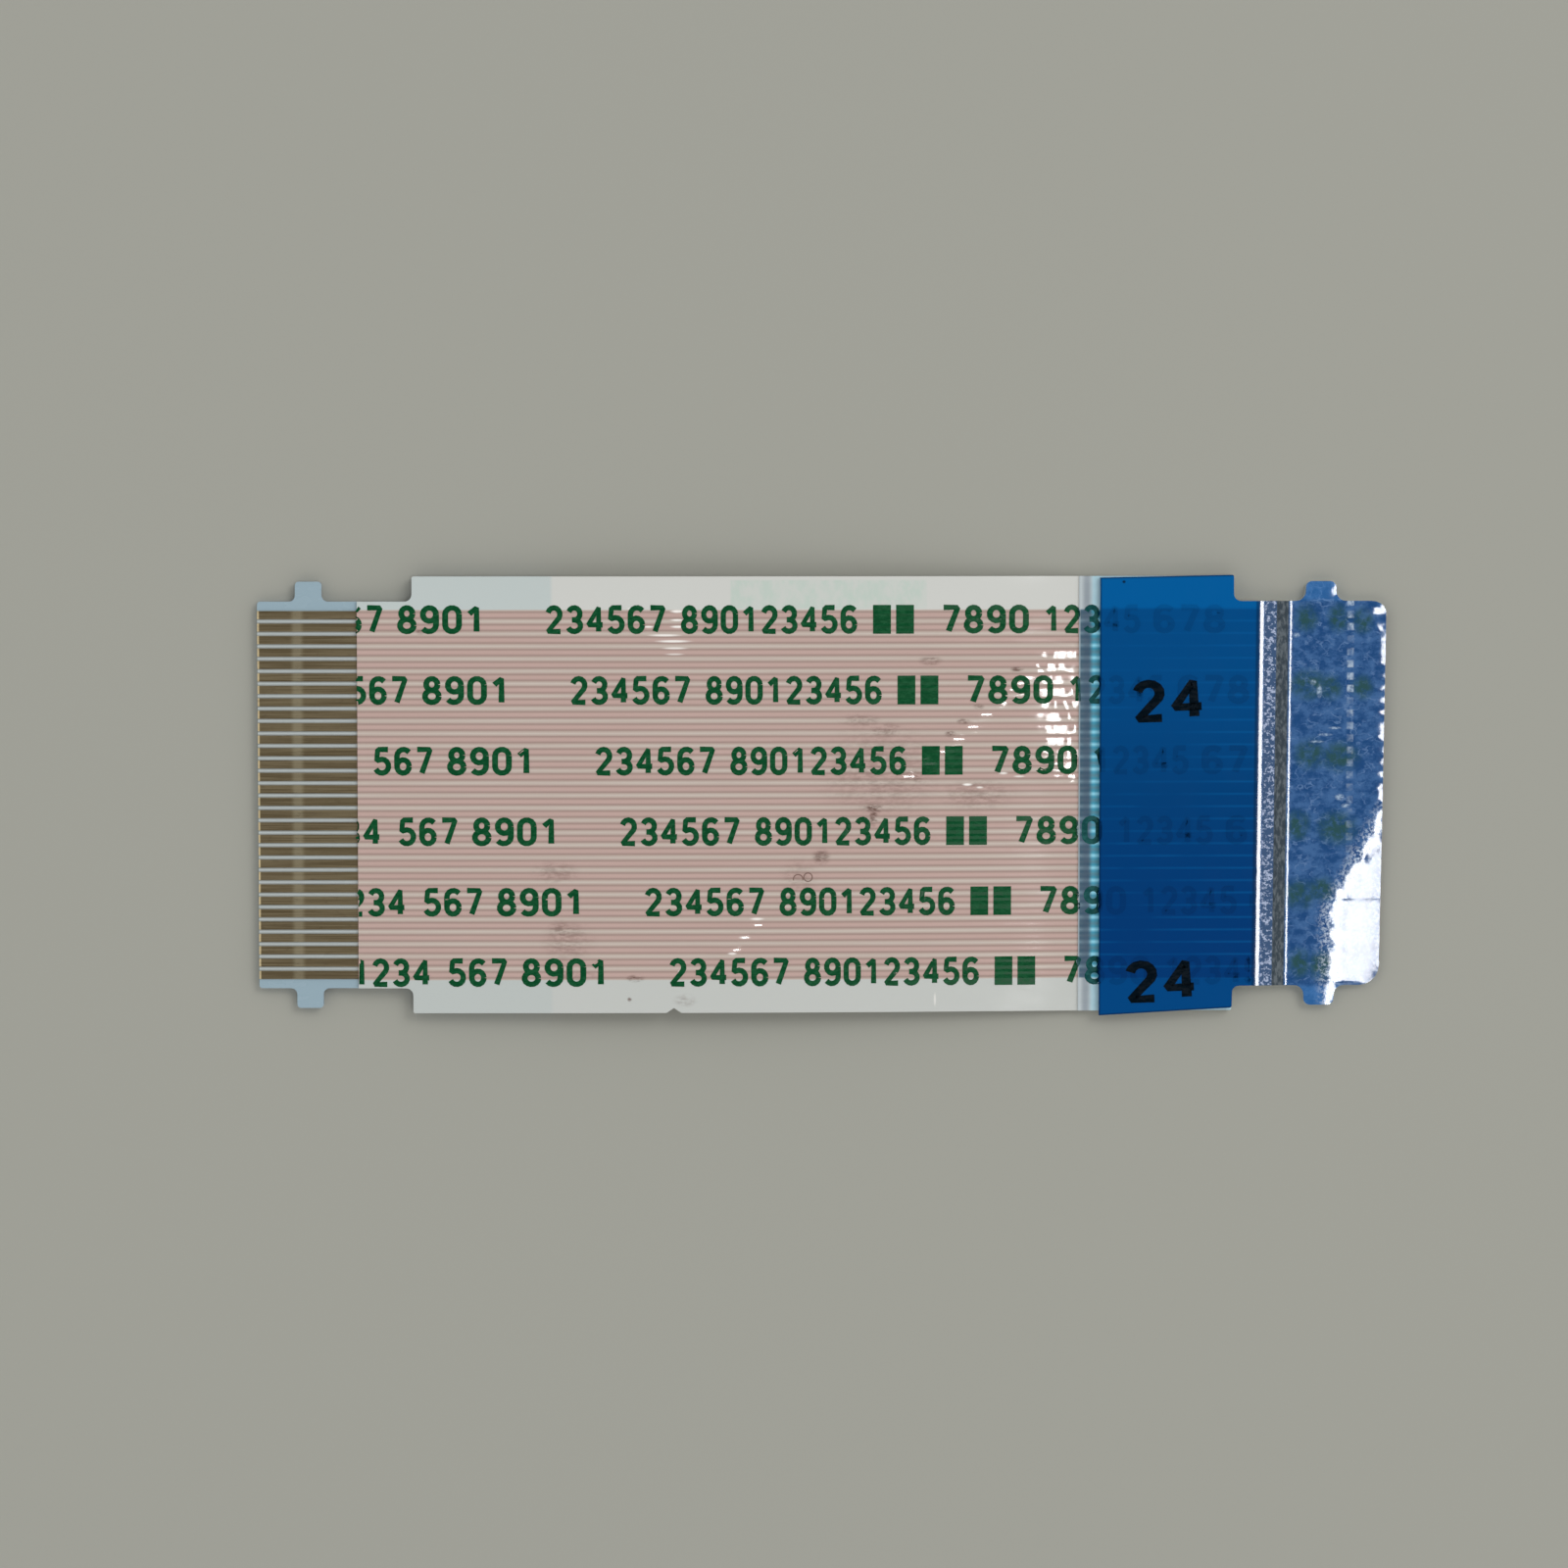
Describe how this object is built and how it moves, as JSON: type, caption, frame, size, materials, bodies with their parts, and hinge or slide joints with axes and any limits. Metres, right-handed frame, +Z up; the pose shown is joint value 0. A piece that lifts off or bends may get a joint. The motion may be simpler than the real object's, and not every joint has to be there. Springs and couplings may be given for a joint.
{
  "type": "flat flex cable",
  "caption": "Flat flex cable: flat conductors sealed between plastic films, bare at opposite faces of its eared ends, with a stiffener under one end and a blue tape over the other.",
  "frame": {"origin": "on the table, under the middle of the cable's box", "axes": "+X along the cable from the stiffened end to the taped end, +Y across it, +Z up from the table"},
  "size_m": [0.0452, 0.0178, 0.0007],
  "materials": {
    "film": "glossy pale film, pink where it lies over a conductor",
    "stiffener": "pale blue film",
    "tape": "glossy deep blue film",
    "adhesive": "clear grey-blue adhesive",
    "conductor": "dull bronze plating"
  },
  "bodies": {
    "root": {"bottom_insulation": "film", "conductor_01": "conductor", "conductor_02": "conductor", "conductor_03": "conductor", "conductor_04": "conductor", "conductor_05": "conductor", "conductor_06": "conductor", "conductor_07": "conductor", "conductor_08": "conductor", "conductor_09": "conductor", "conductor_10": "conductor", "conductor_11": "conductor", "conductor_12": "conductor", "conductor_13": "conductor", "conductor_14": "conductor", "conductor_15": "conductor", "conductor_16": "conductor", "conductor_17": "conductor", "conductor_18": "conductor", "conductor_19": "conductor", "conductor_20": "conductor", "conductor_21": "conductor", "conductor_22": "conductor", "conductor_23": "conductor", "conductor_24": "conductor", "conductor_25": "conductor", "conductor_26": "conductor", "conductor_27": "conductor", "conductor_28": "conductor", "conductor_29": "conductor", "conductor_30": "conductor", "stiffener": "stiffener", "stiffening_tape": "tape", "tape_adhesive": "adhesive", "top_insulation": "film"}
  },
  "joints": []
}
